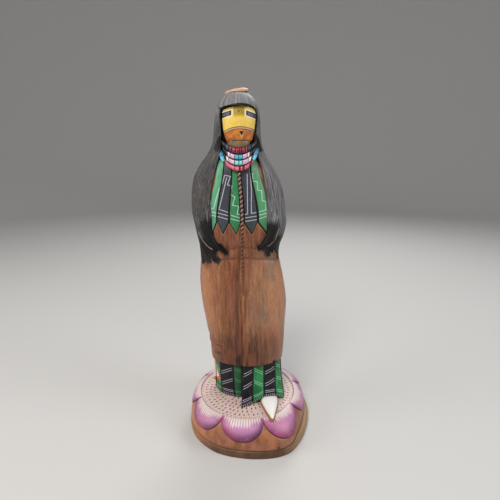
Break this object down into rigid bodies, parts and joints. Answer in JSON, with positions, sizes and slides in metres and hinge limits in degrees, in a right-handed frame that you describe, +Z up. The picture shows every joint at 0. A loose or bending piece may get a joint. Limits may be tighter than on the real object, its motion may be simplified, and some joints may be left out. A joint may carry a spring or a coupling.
{
  "type": "carved figurine",
  "caption": "Carved wooden maiden figurine with long hair, case mask, bead bib and striped dress, standing on a flower mound over a flat base plate.",
  "frame": {"origin": "middle of the plate's underside", "axes": "+Z up through the figure's head; the figure faces -Y"},
  "size_m": [0.1139, 0.1146, 0.3001],
  "materials": {
    "carved_wood": "carved cottonwood root, stained and painted, satin",
    "plate_wood": "plain wood, oiled, satin"
  },
  "bodies": {
    "root": {"carving": "carved_wood", "base_plate": "plate_wood"}
  },
  "joints": []
}
